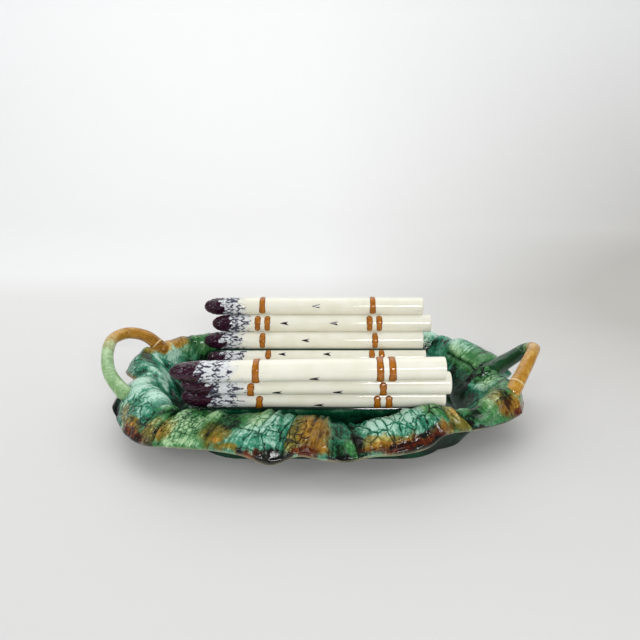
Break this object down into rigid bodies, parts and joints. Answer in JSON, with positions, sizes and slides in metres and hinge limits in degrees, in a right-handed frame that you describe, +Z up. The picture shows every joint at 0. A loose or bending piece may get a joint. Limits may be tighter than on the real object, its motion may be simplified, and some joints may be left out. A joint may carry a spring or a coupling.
{
  "type": "asparagus plate",
  "caption": "Footed leaf dish with stem handles and a cradle of asparagus spears that holds cooked asparagus for serving.",
  "frame": {"origin": "on the table, under the middle of the dish", "axes": "+X along the spears towards their cut ends, +Y to the rear, +Z up"},
  "size_m": [0.4265, 0.2366, 0.0962],
  "materials": {
    "green_glaze": "gloss",
    "leaf_glaze": "gloss",
    "ivory_glaze": "gloss",
    "tie_glaze": "gloss",
    "bract_glaze": "gloss",
    "stem_glaze": "gloss"
  },
  "bodies": {
    "root": {"foot_ring": "green_glaze", "dish_body": "green_glaze", "cradle_saddle": "green_glaze", "left_handle": "stem_glaze", "right_handle": "stem_glaze", "tip_end_tie": "tie_glaze", "cut_end_tie": "tie_glaze", "spear_bracts": "bract_glaze", "front_spear_1": "ivory_glaze", "front_spear_2": "ivory_glaze", "front_spear_3": "ivory_glaze", "front_spear_4": "ivory_glaze", "floor_spear_1": "ivory_glaze", "floor_spear_2": "ivory_glaze", "floor_spear_3": "ivory_glaze", "floor_spear_4": "ivory_glaze", "floor_spear_5": "ivory_glaze", "rear_spear_4": "ivory_glaze", "rear_spear_3": "ivory_glaze", "rear_spear_2": "ivory_glaze", "rear_spear_1": "ivory_glaze", "left_front_corner_leaf": "leaf_glaze", "right_rear_corner_leaf": "leaf_glaze", "left_front_small_leaf": "leaf_glaze", "right_rear_small_leaf": "leaf_glaze", "front_left_leaf": "leaf_glaze", "rear_right_leaf": "leaf_glaze", "front_middle_leaf": "leaf_glaze", "rear_middle_leaf": "leaf_glaze", "front_right_leaf": "leaf_glaze", "rear_left_leaf": "leaf_glaze", "front_folded_leaf": "leaf_glaze", "rear_folded_leaf": "leaf_glaze", "right_front_corner_leaf": "leaf_glaze", "left_rear_corner_leaf": "leaf_glaze"}
  },
  "joints": []
}
